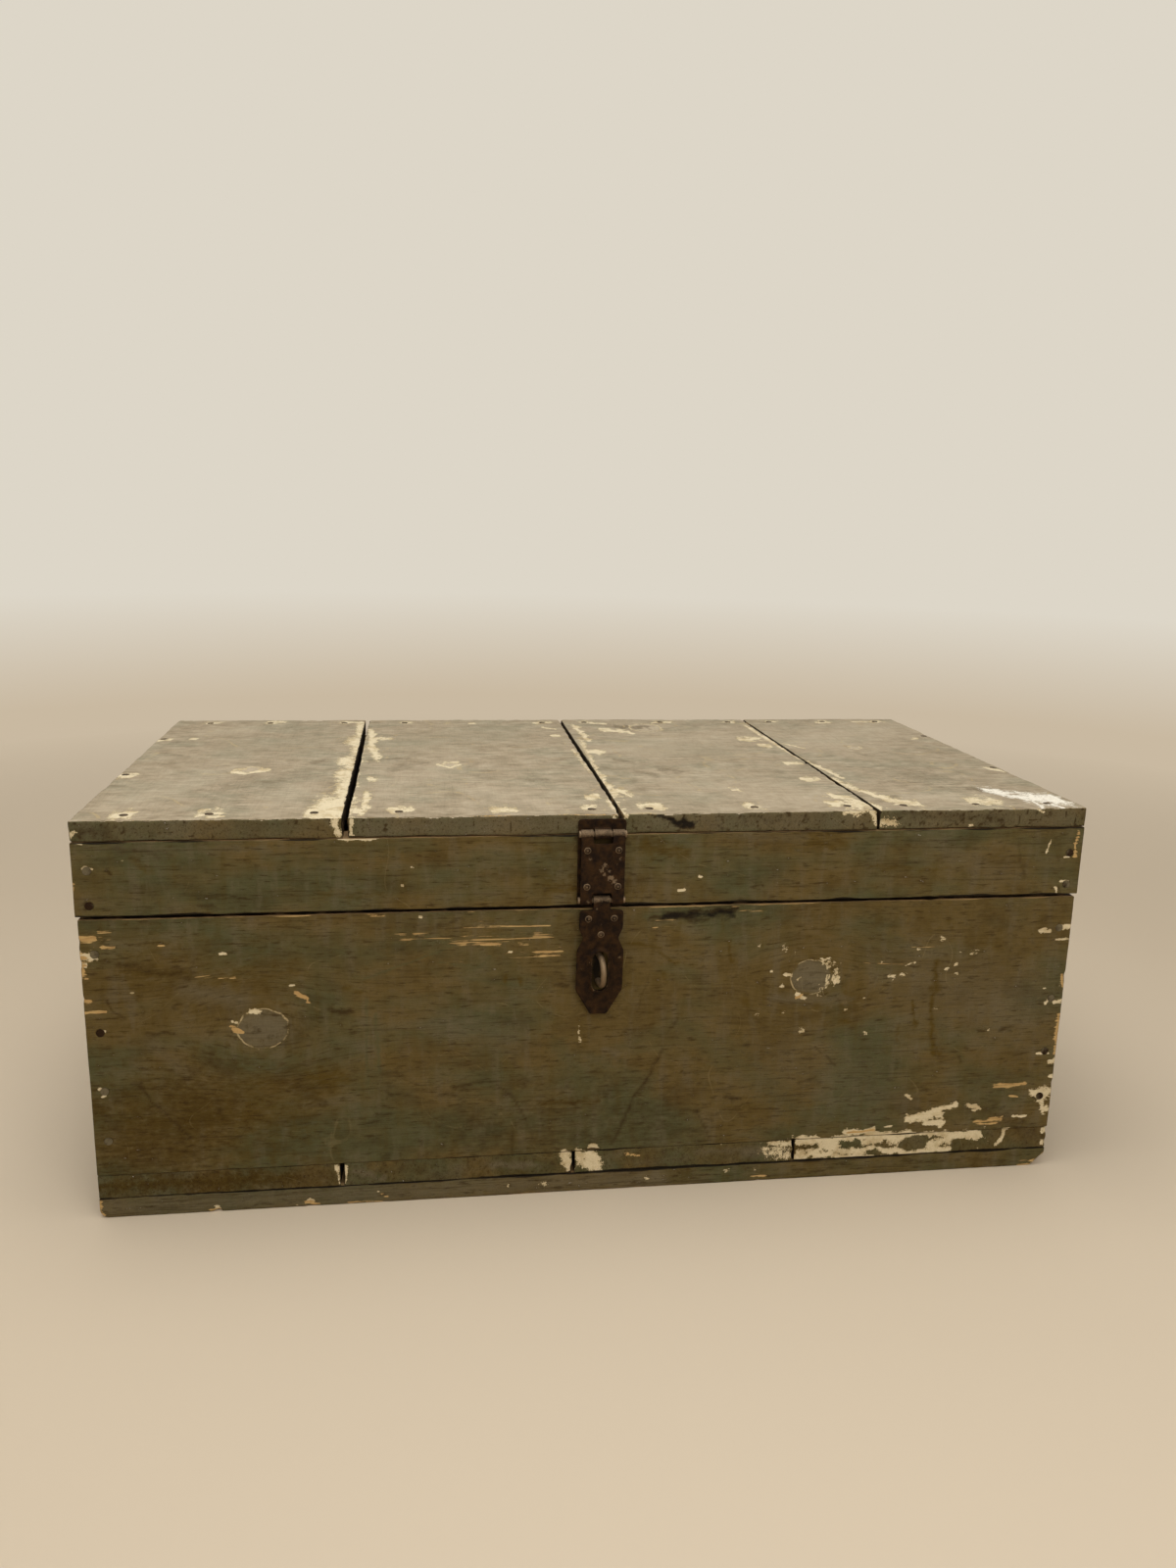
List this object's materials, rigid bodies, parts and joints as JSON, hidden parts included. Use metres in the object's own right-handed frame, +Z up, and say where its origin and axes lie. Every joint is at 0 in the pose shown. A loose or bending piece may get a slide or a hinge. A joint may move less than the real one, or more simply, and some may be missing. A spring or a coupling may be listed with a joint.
{
  "type": "trunk",
  "caption": "Painted plank trunk on low runners, with a hinged lid, rails round the lid's edge, and a folding hasp over a staple at the front.",
  "frame": {"origin": "on the floor, under the middle of the whole trunk with its staple and hinges", "axes": "+X along the trunk's length to its right, +Y to its back (the hinges), +Z up"},
  "size_m": [0.953, 0.5364, 0.389],
  "materials": {
    "front_paint": "old olive brown oil paint on sawn pine, worn and chipped, grain telegraphing through",
    "top_paint": "old grey-taupe oil paint on pine, dusty, with cream undercoat showing at the joints",
    "bottom_paint": "olive brown paint on the end grain of pine boards, flaked to a cream undercoat",
    "runner_pine": "worn paint on pine, bare at the ends",
    "hasp_iron": "dark brown rusted sheet iron, polished on the high spots",
    "hinge_iron": "dark brown rusted sheet iron",
    "staple_iron": "iron wire worn pale by the padlock",
    "nail_iron": "dark iron nail and screw heads, painted over in part"
  },
  "bodies": {
    "box": {"front_board": "front_paint", "back_board": "front_paint", "left_end_board": "front_paint", "right_end_board": "front_paint", "bottom_board_1": "bottom_paint", "bottom_board_2": "bottom_paint", "bottom_board_3": "bottom_paint", "bottom_board_4": "bottom_paint", "front_runner": "runner_pine", "back_runner": "runner_pine", "corner_nails": "nail_iron", "bottom_nails": "nail_iron", "runner_nails": "nail_iron", "staple": "staple_iron", "left_hinge_body_leaf": "hinge_iron", "right_hinge_body_leaf": "hinge_iron", "left_hinge_pin": "hinge_iron", "right_hinge_pin": "hinge_iron", "hinge_body_screws": "nail_iron"},
    "lid": {"top_board_1": "top_paint", "top_board_2": "top_paint", "top_board_3": "top_paint", "top_board_4": "top_paint", "lid_front_rail": "front_paint", "lid_back_rail": "front_paint", "lid_left_rail": "front_paint", "lid_right_rail": "front_paint", "lid_corner_nails": "nail_iron", "top_nails": "nail_iron", "left_hinge_lid_leaf": "hinge_iron", "right_hinge_lid_leaf": "hinge_iron", "hinge_lid_screws": "nail_iron", "hasp_fixed_leaf": "hasp_iron", "hasp_screws": "nail_iron", "hasp_upper_pin": "hasp_iron"},
    "hasp_link": {"hasp_link": "hasp_iron", "link_rivets": "hasp_iron", "hasp_lower_pin": "hasp_iron"},
    "hasp_plate": {"hasp_plate": "hasp_iron", "plate_rivets": "hasp_iron"}
  },
  "joints": [
    {"name": "lid_hinge", "type": "hinge", "parent": "box", "child": "lid", "pos_m": [0, 0.2637, 0.2985], "axis": [-1, 0, 0], "range_deg": [0, 180]},
    {"name": "hasp_upper", "type": "hinge", "parent": "lid", "child": "hasp_link", "pos_m": [-0.005, -0.2517, 0.3715], "axis": [-1, 0, 0], "range_deg": [0, 165]},
    {"name": "hasp_lower", "type": "hinge", "parent": "hasp_link", "child": "hasp_plate", "pos_m": [-0.005, -0.2517, 0.3075], "axis": [-1, 0, 0], "range_deg": [0, 120]}
  ]
}
